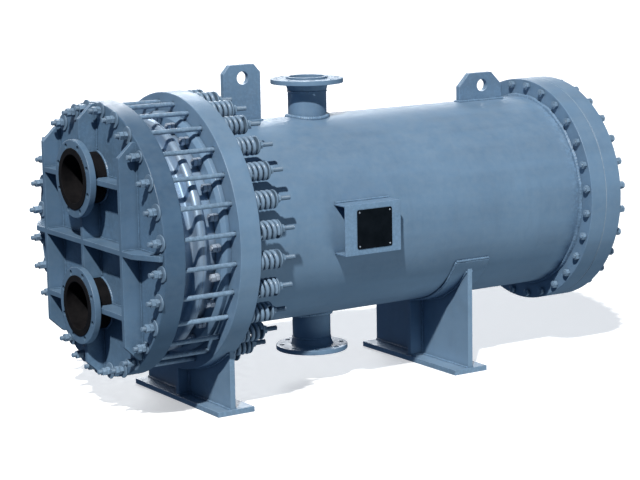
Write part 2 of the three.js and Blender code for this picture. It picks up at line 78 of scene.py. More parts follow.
PLATE_RADIUS = 450
PLATE_THICK = span("clamp_plate")[1]
HEADER_RADIUS = 345
HEADER_BORE = 322
HEADER_FLANGE_RADIUS = 393
HEADER_FLANGE_THICK = 15
HEADER_FLANGE_ROUNDING = 13
HEADER_GASKET_RADIUS = 392.6
SKIRT_RADIUS = 347
TUBESHEET_THICK = 80
TUBE_HOLE = 25
TUBE_PLACES = [(90, 220), (65, 95), (195, 95)]  # in one quarter of the tubesheet
NOZZLE_HEIGHT = 208
NOZZLE_PIPE = 84
NOZZLE_BORE = 79
NOZZLE_FLANGE = 127
NOZZLE_FACE = 100
NOZZLE_LIP = 3
NOZZLE_FLANGE_THICK = 22
NOZZLE_HOLES = 8
NOZZLE_HOLE = 9
NOZZLE_HOLE_CIRCLE = 111
NOZZLE_RIB_END = 446
NOZZLE_RIB_SLOPE = 46
RIB_THICK = 18
RIB_OFFSET = 273
RIB_HALF_HEIGHT = 348
RIB_DEPTH = 63

ROD_COUNT = 28
ROD_CIRCLE = 430
ROD_RADIUS = 8
NUT_FLATS = 24
NUT_HEIGHT = 14
NUT_CONE = 28  # degrees
ROD_CHAMFER = 1.6
THREAD_PITCH = 2.0
THREAD_DEPTH = 0.9
WASHER_THICK = 5
WASHER_RADIUS = 27
WASHER_RADIUS_BY_RIB = 20  # a full one would cut into the upright rib
WASHER_RIB_FROM = 300  # the rods above this height, up to the rib's end, are beside it
SLIP_BORE = 8.4
SPRING_RADIUS = 32
SPRING_WIRE = 6.9
SPRING_TURNS = 4.0
SPRING_DEAD_TURNS = 0.5
SPRING_CAP = 13
SPRING_CAP_RIM = 5
SPRING_CAP_TAPER = 10
CLEARANCE_HOLE = 10

FIT = 0.3  # between CAD pieces that touch
HAIRLINE = 0.2  # between a nut or a cap and what it bears on
CUT_PAST = 5  # how far a cutter reaches past what it cuts
RIM_SIDES, BODY_SIDES = 168, 160  # of the widest rounds and of those behind them

SPRING_FLANGE_RADIUS = 463
STUFFING_BORE = 360
GLAND_RADIUS = 402
GLAND_FRONT = 236
GLAND_CHAMFER = (14, 11)
GLAND_STUDS = 24
GLAND_CIRCLE = 374

SHELL_RADIUS = 344
SHELL_BORE = 334
JOINT_RADIUS = 407
JOINT_BOLTS = 28
JOINT_CIRCLE = 387
JOINT_GASKET_RADIUS = 406.5
SEAT_RADIUS = 362.5
SEAT_WALL = 9
COVER_DISH = 40
JAM_NUT_HEIGHT = 12

OIL_X = sum(span("top_oil_nozzle")) / 2
OIL_PIPE = 66.5
OIL_BORE = 60.5
OIL_FLANGE = 125
OIL_FACE_RADIUS = 72
OIL_HOLES = 8
OIL_HOLE = 9
OIL_HOLE_CIRCLE = 105
OIL_NECK, OIL_BACK, OIL_FACE, OIL_LIP = 431, 457, 473, 480

# Each lug: how far its chamfers run and rise, and its eye's place (x, z) and radius.
LUGS = {
    "front_lifting_lug": (25, 28, (549, 491, 22)),
    "rear_lifting_lug": (45, 46, (1551, 398, 22)),
}
LUG_THICK = 22

NAMEPLATE_SCREW_INSET = 9
# The domed head of a nameplate screw: radius, and how far it stands out.
SCREW_PROFILE = ((2.9, 0.2), (2.8, -0.9), (2.1, -1.5), (0.8, -1.7))

WEAR_PLATE_THICK = 8
WEAR_PLATE_ARC = (-150, -30)
FOOT_THICK = 18
FOOT_HALF_WIDTH = 284
SADDLE_HALF_WIDTH = 280
WEB_THICK = 19
STAY_HALF_THICK = 9
# Each saddle's upright web: its front, and the radius of what it carries.
SADDLE_WEBS = {
    "front_saddle": (312, SPRING_FLANGE_RADIUS),
    "rear_saddle": (1277, SHELL_RADIUS + WEAR_PLATE_THICK),
}

SPRING_FLANGE = span("spring_flange")
SPRINGS = span("spring_set")
GLAND = span("gland_follower")
BARREL = span("shell_barrel")
JOINT = span("rear_shell_flange")
COVER = span("rear_cover")
BOLTS = span("rear_flange_bolts")

dice = random.Random(11)


# ---- Building meshes ----


def ring(radius, along, sides, centre=(0, 0), upright=False, turn=0.0):
    """A circle round a line along X through (y, z), or round an upright line through (x, y)."""
    points = []
    for i in range(sides):
        angle = turn + TAU * i / sides
        a = centre[0] + radius * math.cos(angle)
        b = centre[1] + radius * math.sin(angle)
        points.append(Vector((a, b, along)) if upright else Vector((along, a, b)))
    return points


def loft(bm, rings, closed=False):
    """Skins a row of rings and returns the faces. An open row gets a flat cap at each end."""
    made = [[bm.verts.new(p) for p in points] for points in rings]
    pairs = list(zip(made, made[1:]))
    if closed:
        pairs.append((made[-1], made[0]))
    faces = []
    for a, b in pairs:
        for i in range(len(a)):
            j = (i + 1) % len(a)
            faces.append(bm.faces.new((a[i], a[j], b[j], b[i])))
    if not closed:
        faces += [bm.faces.new(made[0][::-1]), bm.faces.new(made[-1])]
    return faces


def rounded(outline, radius=2.0, steps=3):
    """The closed outline with its corners rounded.

    A third number in a point is that corner's own radius.
    """
    points = [Vector(p[:2]) for p in outline]
    result = []
    for i, p in enumerate(points):
        own = outline[i][2] if len(outline[i]) > 2 else radius
        to_a, to_b = points[i - 1] - p, points[(i + 1) % len(points)] - p
        reach = min(own, 0.45 * to_a.length, 0.45 * to_b.length)
        if p.x == 0 or reach < 0.05:
            result.append(p)
            continue
        start, end = p + to_a.normalized() * reach, p + to_b.normalized() * reach
        for k in range(steps + 1):
            t = k / steps
            result.append(start * (1 - t) ** 2 + p * 2 * t * (1 - t) + end * t * t)
    return result


def turned(bm, outline, sides=96, centre=(0, 0), upright=False):
    """A turned solid from a closed outline of (radius, place along the line).

    Points at radius 0 are its caps.
    """
    solid = any(p[0] == 0 for p in outline)
    rows = [ring(p[0], p[1], sides, centre, upright) for p in outline if p[0] > 0]
    return loft(bm, rows, closed=not solid)


def hex_nut(bm, x, centre, height=NUT_HEIGHT):
    """A hexagon nut on a line along X with chamfered corners and a bore, turned at random."""
    sides, half, bore = 24, NUT_FLATS / 2, ROD_RADIUS + FIT
    circle = half * 0.95
    turn = dice.uniform(0, 1)

    def corner_ring(near, outward):
        points = []
        for i in range(sides):
            angle = TAU * i / sides
            within = (angle + TAU / 12) % (TAU / 6) - TAU / 12
            radius = half / math.cos(within)
            drop = (radius - circle) * math.tan(math.radians(NUT_CONE))
            a = centre[0] + radius * math.cos(angle + turn)
            b = centre[1] + radius * math.sin(angle + turn)
            points.append(Vector((near - outward * drop, a, b)))
        return points

    rows = [
        ring(bore, x, sides, centre, turn=turn),
        ring(circle, x, sides, centre, turn=turn),
        corner_ring(x, -1),
        corner_ring(x + height, 1),
        ring(circle, x + height, sides, centre, turn=turn),
        ring(bore, x + height, sides, centre, turn=turn),
    ]
    loft(bm, rows, closed=True)


def threaded(start, end):
    """The part of a rod's outline that has a thread, from one place along it to another."""
    count = max(1, int(abs(end - start) / THREAD_PITCH))
    step = (end - start) / count
    points = []
    for i in range(count):
        points.append((ROD_RADIUS, start + step * (i + 0.12)))
        points.append((ROD_RADIUS - THREAD_DEPTH, start + step * (i + 0.55)))
    points.append((ROD_RADIUS, end))
    return points


def stud(bm, parts, centre):
    """A rod along X. Parts is a list of (start, end, is it threaded)."""
    first, last = parts[0][0], parts[-1][1]
    tip_radius, tip_length = ROD_RADIUS - ROD_CHAMFER, 1.2
    outline = [(0, first), (tip_radius, first)]
    for start, end, has_thread in parts:
        inner = start + tip_length if start == first else start
        outer = end - tip_length if end == last else end
        if has_thread:
            outline += threaded(inner, outer)
        else:
            outline += [(ROD_RADIUS, inner), (ROD_RADIUS, outer)]
    outline += [(tip_radius, last), (0, last)]
    turned(bm, outline, 16, centre)


def bead(bm, path, radius, closed=False, beside=AHEAD, ripple=7.0, rough=0.11):
    """A weld bead: a rippled cord along a path, which never runs in the direction of beside."""
    step = 2.6
    spaced = evenly(path, step, closed)
    count, sides = len(spaced), 7
    wander = dice.uniform(0, 9)
    rows = []
    for i, p in enumerate(spaced):
        after = spaced[(i + 1) % count] if closed or i + 1 < count else p
        before = spaced[i - 1] if closed or i > 0 else p
        forward = (after - before).normalized()
        across = forward.cross(beside).normalized()
        upward = forward.cross(across)
        run = i * step
        swell = 1 + rough * math.sin(TAU * run / ripple)
        size = radius * (swell + 0.07 * math.sin(run / 31 + wander))
        size *= 1 + dice.uniform(-0.04, 0.04)
        sway = 0.16 * radius * math.sin(run / 17 + wander)
        row = []
        for k in range(sides):
            angle = TAU * k / sides
            sideways = across * (size * math.cos(angle) + sway)
            row.append(p + sideways + upward * size * math.sin(angle))
        rows.append(row)
    loft(bm, rows, closed=closed)


def evenly(path, step, closed):
    """Points spaced evenly along a path."""
    path = [Vector(p) for p in path]
    if closed:
        path.append(path[0])
    lengths = [(b - a).length for a, b in zip(path, path[1:])]
    total = sum(lengths)
    count = max(2, round(total / step))
    places = [total * i / count for i in range(count if closed else count + 1)]
    result, index, gone = [], 0, 0.0
    for place in places:
        while index < len(lengths) - 1 and gone + lengths[index] < place:
            gone += lengths[index]
            index += 1
        t = min(1.0, (place - gone) / max(lengths[index], 1e-6))
        result.append(path[index].lerp(path[index + 1], t))
    return result


def arc(radius, x, start=0.0, end=360.0, centre=(0, 0)):
    """Points on a circle round a line along X. Its angles run from +Y towards +Z."""
    count = max(8, int(abs(end - start) / 3))
    closed = abs(end - start) >= 360
    points = []
    for i in range(count + (0 if closed else 1)):
        angle = math.radians(start + (end - start) * i / count)
        y, z = centre[0] + radius * math.cos(angle), centre[1] + radius * math.sin(angle)
        points.append((x, y, z))
    return points


def quarter(centre, radius, start, end, steps=7):
    """Outline points (radius, place along the line) on part of a circle.

    The angles run from outward towards the rear.
    """
    points = []
    for i in range(steps + 1):
        angle = math.radians(start + (end - start) * i / steps)
        across, ahead = radius * math.cos(angle), radius * math.sin(angle)
        points.append((centre[0] + across, centre[1] + ahead, 0))
    return points


def around(count, radius, pitch=0.5, centre=(0, 0)):
    """Places (y, z) evenly round a circle. The first is a share of a pitch from the horizontal."""
    places = []
    for i in range(count):
        angle = (i + pitch) * TAU / count
        places.append((centre[0] + radius * math.cos(angle), centre[1] + radius * math.sin(angle)))
    return places


def mesh_of(bm, name):
    bmesh.ops.recalc_face_normals(bm, faces=bm.faces)
    mesh = bpy.data.meshes.new(name)
    bm.to_mesh(mesh)
    bm.free()
    mesh.transform(IN_FRAME)
    return mesh


def holes_along_x(places, radius, start, end, sides=24):
    """A cutter for round holes through what lies between two places along X."""
    low, high = start - CUT_PAST, end + CUT_PAST
    bm = bmesh.new()
    for place in places:
        turned(bm, [(0, low), (radius, low), (radius, high), (0, high)], sides, place)
    return bm


def piece(name, bm, materials, body, stands_for=(), cutters=(), bevel=0.0, corner=50):
    """Cuts a piece's holes, bevels its edges, evens its normals and hangs it on its body."""
    mesh = bm if isinstance(bm, bpy.types.Mesh) else mesh_of(bm, name)
    for material in materials:
        mesh.materials.append(material)
    made = bpy.data.objects.new(name, mesh)
    bpy.context.scene.collection.objects.link(made)
    helpers = []
    for i, cutter in enumerate(cutters):
        helper = bpy.data.objects.new(name + "_cutter_" + str(i), mesh_of(cutter, "cutter"))
        bpy.context.scene.collection.objects.link(helper)
        helpers.append(helper)
        cut = made.modifiers.new("cut", "BOOLEAN")
        cut.operation, cut.solver, cut.object = "DIFFERENCE", "EXACT", helper
    if bevel:
        edges = made.modifiers.new("edges", "BEVEL")
        edges.width, edges.segments = bevel * MM, 2
        edges.limit_method, edges.angle_limit = "ANGLE", math.radians(35)
    if helpers or bevel:
        apply_modifiers(made)
    made.data.polygons.foreach_set("use_smooth", [True] * len(made.data.polygons))
    made.data.set_sharp_from_angle(angle=math.radians(corner))
    even = made.modifiers.new("even", "WEIGHTED_NORMAL")
    even.keep_sharp = True
    apply_modifiers(made)
    for helper in helpers:
        bpy.data.objects.remove(helper)
    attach(made, body)
    if stands_for:
        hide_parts(*stands_for)
    return made


def apply_modifiers(made):
    graph = bpy.context.evaluated_depsgraph_get()
    final = bpy.data.meshes.new_from_object(made.evaluated_get(graph))
    made.modifiers.clear()
    made.data = final


def refined(node):
    """A copy of a CAD node's mesh with its flat faces whole, ready to bevel."""
    bm = bmesh.new()
    bm.from_mesh(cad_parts[node].data)
    bmesh.ops.remove_doubles(bm, verts=bm.verts, dist=1e-5)
    bmesh.ops.dissolve_limit(
        bm,
        angle_limit=math.radians(2),
        verts=bm.verts,
        edges=bm.edges,
        use_dissolve_boundaries=False,
    )
    mesh = bpy.data.meshes.new(node)
    bm.to_mesh(mesh)
    bm.free()
    return mesh


# ---- Materials ----


class Shader:
    """A material with a Principled shader, and short names for the nodes that feed it."""

    def __init__(self, name, roughness=0.5, metallic=0.0, coat=0.0, specular=0.5):
        self.material = bpy.data.materials.new(name)
        self.material.use_nodes = True
        self.tree = self.material.node_tree
        self.shader = self.tree.nodes["Principled BSDF"]
        self.shader.inputs["Roughness"].default_value = roughness
        self.shader.inputs["Metallic"].default_value = metallic
        self.shader.inputs["Coat Weight"].default_value = coat
        self.shader.inputs["Specular IOR Level"].default_value = specular
        self.shader.inputs["Coat Roughness"].default_value = 0.25
        self.place = self.add("ShaderNodeTexCoord").outputs["Object"]

    def add(self, kind, **settings):
        node = self.tree.nodes.new(kind)
        for key, value in settings.items():
            setattr(node, key, value)
        return node

    def link(self, output, socket):
        self.tree.links.new(output, socket)

    def feed(self, socket, value):
        if isinstance(value, bpy.types.NodeSocket):
            self.link(value, socket)
        else:
            socket.default_value = value

    def stretched(self, scale):
        mapping = self.add("ShaderNodeMapping")
        mapping.inputs["Scale"].default_value = scale
        self.link(self.place, mapping.inputs["Vector"])
        return mapping.outputs["Vector"]

    def noise(self, scale, detail=4.0, rough=0.55, stretch=None):
        node = self.add("ShaderNodeTexNoise")
        node.inputs["Scale"].default_value = scale
        node.inputs["Detail"].default_value = detail
        node.inputs["Roughness"].default_value = rough
        self.link(self.stretched(stretch) if stretch else self.place, node.inputs["Vector"])
        return node.outputs["Fac"]

    def ramp(self, value, low, high, start=0.0, end=1.0):
        """Value mapped from low..high to start..end, and held there."""
        node = self.add("ShaderNodeMapRange")
        limits = {"From Min": low, "From Max": high, "To Min": start, "To Max": end}
        for key, number in limits.items():
            node.inputs[key].default_value = number
        self.link(value, node.inputs["Value"])
        return node.outputs["Result"]

    def math(self, operation, a, b):
        node = self.add("ShaderNodeMath", operation=operation)
        self.feed(node.inputs[0], a)
        self.feed(node.inputs[1], b)
        return node.outputs[0]

    def mix(self, share, a, b):
        node = self.add("ShaderNodeMix", data_type="RGBA")
        self.feed(node.inputs["Factor"], share)
        self.feed(node.inputs[6], (*a, 1) if isinstance(a, tuple) else a)
        self.feed(node.inputs[7], (*b, 1) if isinstance(b, tuple) else b)
        return node.outputs[2]

    def bump(self, height, strength, distance=MM, below=None):
        node = self.add("ShaderNodeBump")
        node.inputs["Strength"].default_value = strength
        node.inputs["Distance"].default_value = distance
        self.link(height, node.inputs["Height"])
        if below is not None:
            self.link(below, node.inputs["Normal"])
        return node.outputs["Normal"]

    def facing(self, axis):
        """The surface normal's share along an axis, at rest."""
        split = self.add("ShaderNodeSeparateXYZ")
        self.link(self.add("ShaderNodeNewGeometry").outputs["Normal"], split.inputs["Vector"])
        return split.outputs[axis]

    def hollows(self, distance):
        """1 in the open and towards 0 in corners and crevices."""
        node = self.add("ShaderNodeAmbientOcclusion", samples=6)
        node.inputs["Distance"].default_value = distance
        return node.outputs["AO"]

    def edges(self):
        """Above 0.5 on rounded outer edges, where the mesh is fine enough to tell."""
        return self.add("ShaderNodeNewGeometry").outputs["Pointiness"]

    def done(self, colour, roughness, normal):
        self.link(colour, self.shader.inputs["Base Color"])
        self.link(roughness, self.shader.inputs["Roughness"])
        self.link(normal, self.shader.inputs["Normal"])
        return self.material


def scaled(colour, factor):
    return tuple(min(1, c * factor) for c in colour)


def painted(name, light, dark, dust=(0.36, 0.42, 0.47), gloss=0.46):
    """Sprayed enamel: mottled, slightly orange-peeled, dusty on top, with painted shade in the
    corners.
    """
    s = Shader(name, roughness=gloss, coat=0.12)
    patches = s.ramp(s.noise(3.1, 5, 0.6), 0.36, 0.66)
    colour = s.mix(patches, dark, light)
    mottle = s.ramp(s.noise(46, 6, 0.65), 0.35, 0.7)
    colour = s.mix(s.math("MULTIPLY", mottle, 0.12), colour, dust)
    # Lighter bands along the length: partly roller streaks, partly painted sheen standing in for
    # bright bands of light along the shell.
    streaks_and_painted_sheen = s.ramp(s.noise(1.0, 4, 0.5, (0.9, 10, 10)), 0.42, 0.60, 0, 0.38)
    colour = s.mix(streaks_and_painted_sheen, colour, scaled(light, 1.18))
    runs = s.ramp(s.noise(1.0, 5, 0.6, (34, 34, 2.2)), 0.55, 0.8)
    colour = s.mix(s.math("MULTIPLY", runs, 0.16), colour, scaled(dark, 0.62))
    upward = s.ramp(s.facing("Z"), 0.35, 0.95)
    settled = s.math("MULTIPLY", upward, s.ramp(s.noise(17, 6, 0.7), 0.4, 0.62))
    colour = s.mix(s.math("MULTIPLY", settled, 0.16), colour, dust)
    # Painted shade: the colour darkens towards a deep blue in corners and crevices, where shade
    # falls.
    corner = s.ramp(s.hollows(0.022), 0.35, 0.95, 1, 0)
    colour = s.mix(s.math("MULTIPLY", corner, 0.55), colour, scaled(dark, 0.38))
    # Painted highlight and wear: outer edges, where the noise allows, turn a paler blue, partly as
    # light catching the edges and partly as chipped paint.
    outer_edges, chipped = s.ramp(s.edges(), 0.53, 0.60), s.ramp(s.noise(90, 5, 0.7), 0.46, 0.60)
    edge_highlight_and_wear = s.math("MULTIPLY", outer_edges, chipped)
    colour = s.mix(s.math("MULTIPLY", edge_highlight_and_wear, 0.45), colour, scaled(light, 1.7))
    rough = s.math("ADD", s.math("MULTIPLY", mottle, 0.16), s.math("MULTIPLY", settled, 0.12))
    rough = s.math("ADD", rough, gloss - 0.08)
    peel = s.bump(s.noise(420, 2, 0.5), 0.12, 0.4 * MM)
    waves = s.bump(s.noise(26, 3, 0.5), 0.18, 0.9 * MM, peel)
    return s.done(colour, rough, waves)


def turned_steel(name, light, dark, roughness=0.36, metallic=0.85, oversprayed=None):
    """Machined steel with fine tool marks round the axis, a little tarnish and painted shade in its
    corners.
    """
    s = Shader(name, roughness, metallic)
    marks = s.noise(1.0, 3, 0.6, (900, 6, 6))
    tarnish = s.ramp(s.noise(11, 6, 0.65), 0.35, 0.7)
    colour = s.mix(tarnish, light, dark)
    colour = s.mix(s.ramp(marks, 0.35, 0.75, 0, 0.35), colour, dark)
    if oversprayed:
        film = s.ramp(s.noise(5.5, 5, 0.6), 0.42, 0.66, 0, 0.75)
        colour = s.mix(film, colour, oversprayed)
    # Painted shade: darker towards a deep grey in corners and crevices, where shade falls.
    corner = s.ramp(s.hollows(0.02), 0.3, 0.95, 1, 0)
    colour = s.mix(s.math("MULTIPLY", corner, 0.6), colour, scaled(dark, 0.25))
    rough = s.math("ADD", s.math("MULTIPLY", tarnish, 0.22), roughness - 0.06)
    return s.done(colour, rough, s.bump(marks, 0.25, 0.25 * MM))


def plain_stuff(name, light, dark, scale, roughness, grain=0.4, depth=0.4, specular=0.5):
    """Rubber, fibre or black lacquer: a fine grain and a little colour variation."""
    s = Shader(name, roughness, specular=specular)
    cloud = s.ramp(s.noise(scale, 6, 0.65), 0.35, 0.68)
    colour = s.mix(cloud, dark, light)
    fine = s.noise(scale * 14, 4, 0.6)
    rough = s.math("ADD", s.math("MULTIPLY", cloud, 0.18), roughness - 0.08)
    return s.done(colour, rough, s.bump(fine, grain, depth * MM))


def floor_stuff():
    s = Shader("studio_floor", 0.75)
    s.shader.inputs["Emission Color"].default_value = (1, 1, 1, 1)
    s.shader.inputs["Emission Strength"].default_value = 0.45
    clouds = s.ramp(s.noise(1.6, 5, 0.6), 0.3, 0.7)
    colour = s.mix(clouds, (0.80, 0.80, 0.80), (0.84, 0.84, 0.835))
    rough = s.ramp(s.noise(30, 3), 0.3, 0.7, 0.68, 0.82)
    return s.done(colour, rough, s.bump(s.noise(220, 3), 0.08, MM))


PAINT = painted("blue_grey_enamel", (0.156, 0.262, 0.394), (0.130, 0.222, 0.340))
SADDLE_PAINT = painted("saddle_enamel", (0.185, 0.295, 0.425), (0.150, 0.250, 0.370))
RIB_PAINT = painted(
    "rib_enamel", (0.108, 0.192, 0.298), (0.086, 0.158, 0.252), dust=(0.26, 0.33, 0.39)
)
PLATE_PAINT = painted(
    "clamp_plate_enamel", (0.080, 0.152, 0.245), (0.058, 0.112, 0.190), dust=(0.20, 0.27, 0.33)
)
SPRING_PAINT = painted("spring_enamel", (0.21, 0.31, 0.43), (0.16, 0.25, 0.36), gloss=0.34)
ROD_PAINT = painted("rod_enamel", (0.18, 0.275, 0.385), (0.13, 0.21, 0.31), gloss=0.40)
STEEL = turned_steel(
    "machined_steel",
    (0.46, 0.58, 0.72),
    (0.27, 0.38, 0.52),
    roughness=0.42,
    metallic=0.45,
    oversprayed=(0.27, 0.42, 0.60),
)
NUT_STEEL = turned_steel("plated_nuts", (0.66, 0.74, 0.84), (0.38, 0.46, 0.56), metallic=0.45)
LINING = plain_stuff(
    "stub_pipe_lining", (0.009, 0.008, 0.009), (0.003, 0.003, 0.004), 30, 0.7, specular=0.15
)
FIBRE = plain_stuff("gasket_fibre", (0.34, 0.44, 0.54), (0.24, 0.33, 0.43), 60, 0.6, grain=0.6)
PACKING = plain_stuff(
    "braided_packing", (0.06, 0.06, 0.065), (0.03, 0.03, 0.032), 90, 0.85, grain=0.8, depth=1.0
)
BRASS = turned_steel("tube_brass", (0.62, 0.45, 0.20), (0.36, 0.25, 0.11), roughness=0.38)
BLACK_PLATE = plain_stuff(
    "nameplate_lacquer",
    (0.006, 0.009, 0.013),
    (0.003, 0.005, 0.007),
    24,
    0.42,
    grain=0.15,
    depth=0.2,
    specular=0.12,
)


# ---- Floating head ----

rod_places = around(ROD_COUNT, ROD_CIRCLE)


def build_clamp_plate():
    outline = [(0, 0), (PLATE_RADIUS, 0), (PLATE_RADIUS, PLATE_THICK), (0, PLATE_THICK)]
    bm = bmesh.new()
    for face in turned(bm, rounded(outline, 4), RIM_SIDES):
        middle = face.calc_center_median()
        on_rim = math.hypot(middle.y, middle.z) > PLATE_RADIUS - 1.5
        face.material_index = 1 if on_rim else 0
    necks = [(0, NOZZLE_HEIGHT), (0, -NOZZLE_HEIGHT)]
    cutters = [
        holes_along_x(rod_places, CLEARANCE_HOLE, 0, PLATE_THICK),
        holes_along_x(necks, NOZZLE_PIPE + 1, 0, PLATE_THICK, 64),
    ]
    paints = [RIB_PAINT, PLATE_PAINT]
    piece("fine_clamp_plate", bm, paints, HEAD, ["clamp_plate"], cutters)


def build_ribs():
    piece("fine_rib_grid", refined("rib_grid"), [RIB_PAINT], HEAD, ["rib_grid"], bevel=1.8)


def build_water_nozzle(node, side):
    front = span(node)[0]
    face, back = front + NOZZLE_LIP, front + NOZZLE_LIP + NOZZLE_FLANGE_THICK
    centre = (0, side * NOZZLE_HEIGHT)
    outline = [
        (NOZZLE_BORE, front, 1.5),
        (NOZZLE_FACE, front, 1.5),
        (NOZZLE_FACE, face, 0.5),
        (NOZZLE_FLANGE, face, 2.5),
        (NOZZLE_FLANGE, back, 2.5),
        (NOZZLE_PIPE, back, 6),
        (NOZZLE_PIPE, PLATE_THICK, 1),
        (NOZZLE_BORE, PLATE_THICK, 1),
    ]
    bm = bmesh.new()
    for part in turned(bm, rounded(outline), 96, centre):
        middle = part.calc_center_median()
        off = math.hypot(middle.y, middle.z - centre[1])
        on_lip = off < NOZZLE_FACE + 0.5 and middle.x < face - 0.2
        part.material_index = 1 if off < NOZZLE_PIPE + 1 or on_lip else 0
    places = around(NOZZLE_HOLES, NOZZLE_HOLE_CIRCLE, centre=centre)
    holes = [holes_along_x(places, NOZZLE_HOLE, face - 5, back, 28)]
    piece("fine_" + node, bm, [RIB_PAINT, LINING], HEAD, [node], holes)

    low, high = side * (NOZZLE_HEIGHT + NOZZLE_PIPE - 2), side * NOZZLE_RIB_END
    outline = [
        (-FIT, low),
        (-RIB_DEPTH, low),
        (-RIB_DEPTH, high - side * NOZZLE_RIB_SLOPE),
        (-14, high),
        (-FIT, high),
    ]
    bm = bmesh.new()
    upright_plate(bm, outline, -RIB_THICK / 2, RIB_THICK / 2)
    piece(node + "_rib", bm, [RIB_PAINT], HEAD, bevel=1.8)


def upright_plate(bm, outline, y0, y1):
    """A flat plate standing along X, from an outline of (x, z)."""
    loft(bm, [[Vector((x, y, z)) for x, z in outline] for y in (y0, y1)])


def build_header():
    start, end = span("water_header")
    shoulder = end - HEADER_FLANGE_THICK
    rounding = HEADER_FLANGE_ROUNDING
    inset = HEADER_FLANGE_RADIUS - rounding
    outline = [
        (HEADER_BORE, start, 1),
        (HEADER_RADIUS, start, 1),
        (HEADER_RADIUS, shoulder + 1, 13),
        *quarter((inset, shoulder + rounding), rounding, -90, 0),
        (HEADER_FLANGE_RADIUS, end, 0),
        (HEADER_BORE, end, 1),
    ]
    bm = bmesh.new()
    turned(bm, rounded(outline, steps=6), BODY_SIDES)
    piece("fine_water_header", bm, [STEEL], HEAD, ["water_header"])

    start, end = span("header_gasket")
    build_gasket("header_gasket", HEADER_GASKET_RADIUS, start, end, HEAD, 0.2, BODY_SIDES)

    start, end = span("floating_tubesheet")
    flange_end = start + HEADER_FLANGE_THICK
    face = end - TUBESHEET_THICK
    outline = [
        (0, face),
        (HEADER_BORE, face, 1),
        (HEADER_BORE, start, 1),
        (HEADER_FLANGE_RADIUS, start, 0),
        *quarter((inset, flange_end - rounding), rounding, 0, 90),
        (SKIRT_RADIUS, flange_end + 1, 8),
        (SKIRT_RADIUS, end, 2),
        (0, end),
    ]
    bm = bmesh.new()
    turned(bm, rounded(outline, steps=5), BODY_SIDES)
    places = [(sy * y, sz * z) for y, z in TUBE_PLACES for sy in (1, -1) for sz in (1, -1)]
    tubes = [holes_along_x(places, TUBE_HOLE, face, end, 20)]
    name = "floating_tubesheet"
    piece("fine_" + name, bm, [STEEL], HEAD, [name], tubes)


def build_gasket(node, radius, start, end, body, softness, sides, holes=()):
    outline = [(HEADER_BORE, start), (radius, start), (radius, end), (HEADER_BORE, end)]
    bm = bmesh.new()
    turned(bm, rounded(outline, softness), sides)
    piece("fine_" + node, bm, [FIBRE], body, [node], holes)


def build_tie_rods():
    cap = SPRINGS[1] + HAIRLINE
    nut = cap + SPRING_CAP
    for i, (y, z) in enumerate(rod_places):
        node = "tie_rod_" + str(i + 1).zfill(2)
        front, rear = span(node)
        by_rib = abs(y) > RIB_OFFSET and RIB_HALF_HEIGHT > abs(z) > WASHER_RIB_FROM
        washer = WASHER_RADIUS_BY_RIB if by_rib else WASHER_RADIUS
        bm = bmesh.new()
        stud(bm, [(front, 6, True), (6, nut - 6, False), (nut - 6, rear, True)], (y, z))
        flat = [
            (SLIP_BORE, -WASHER_THICK),
            (washer, -WASHER_THICK),
            (washer, -HAIRLINE),
            (SLIP_BORE, -HAIRLINE),
        ]
        turned(bm, rounded(flat, 1.2, 3), 36, (y, z))
        for back in (WASHER_THICK + 0.1, WASHER_THICK + NUT_HEIGHT + FIT):
            hex_nut(bm, -NUT_HEIGHT - back, (y, z))
        tapered = [
            (SLIP_BORE, cap),
            (SPRING_RADIUS - 1, cap, 3),
            (SPRING_RADIUS - 1, cap + SPRING_CAP_RIM, 3),
            (SPRING_RADIUS - 1 - SPRING_CAP_TAPER, nut, 4),
            (SLIP_BORE, nut),
        ]
        turned(bm, rounded(tapered, 0.6, 4), 36, (y, z))
        hex_nut(bm, nut + HAIRLINE, (y, z))
        piece("fine_" + node, bm, [ROD_PAINT], HEAD, [node])


# ---- Springs ----


def helix(bm, start, end, place, turn):
    """A coil spring along X with closed, flat-ground ends."""
    mean, sides, per_turn = SPRING_RADIUS - SPRING_WIRE, 12, 26
    end_room = SPRING_WIRE * 0.62
    closed_pitch = 2 * SPRING_WIRE * 0.75
    open_run = (end - start) - 2 * end_room - 2 * SPRING_DEAD_TURNS * closed_pitch
    open_pitch = open_run / (SPRING_TURNS - 2 * SPRING_DEAD_TURNS)
    count = round(SPRING_TURNS * per_turn)
    rows, x = [], start + end_room
    for i in range(count + 1):
        wound = SPRING_TURNS * i / count
        in_dead_turn = min(wound, SPRING_TURNS - wound) < SPRING_DEAD_TURNS
        if i:
            x += (closed_pitch if in_dead_turn else open_pitch) * SPRING_TURNS / count
        angle = turn + TAU * wound
        outward = Vector((0, math.cos(angle), math.sin(angle)))
        centre = Vector((x, place[0], place[1])) + outward * mean
        row = []
        for k in range(sides):
            a = TAU * k / sides
            forward = Vector((SPRING_WIRE * math.sin(a), 0, 0))
            p = centre + outward * SPRING_WIRE * math.cos(a) + forward
            p.x = min(max(p.x, start), end)
            row.append(p)
        rows.append(row)
    loft(bm, rows)


def build_springs():
    bm = bmesh.new()
    for place in rod_places:
        helix(bm, SPRINGS[0] + 0.1, SPRINGS[1], place, dice.uniform(0, TAU))
    name, slot = "fine_springs", "spring_paint"
    made = piece(name, bm, [SPRING_PAINT], SHELL, ["spring_set"], corner=60)
    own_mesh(made)


# ---- Shell side ----


def build_spring_flange():
    start, end = SPRING_FLANGE
    outline = [
        (STUFFING_BORE, start, 2),
        (SPRING_FLANGE_RADIUS, start, 3),
        (SPRING_FLANGE_RADIUS, end, 3),
        (SHELL_BORE, end, 1),
        (SHELL_BORE, end - 7, 1),
        (STUFFING_BORE, end - 7, 1),
    ]
    bm = bmesh.new()
    turned(bm, rounded(outline), RIM_SIDES)
    holes = [holes_along_x(rod_places, CLEARANCE_HOLE, start, end)]
    piece("fine_spring_flange", bm, [PAINT], SHELL, ["spring_flange"], holes)


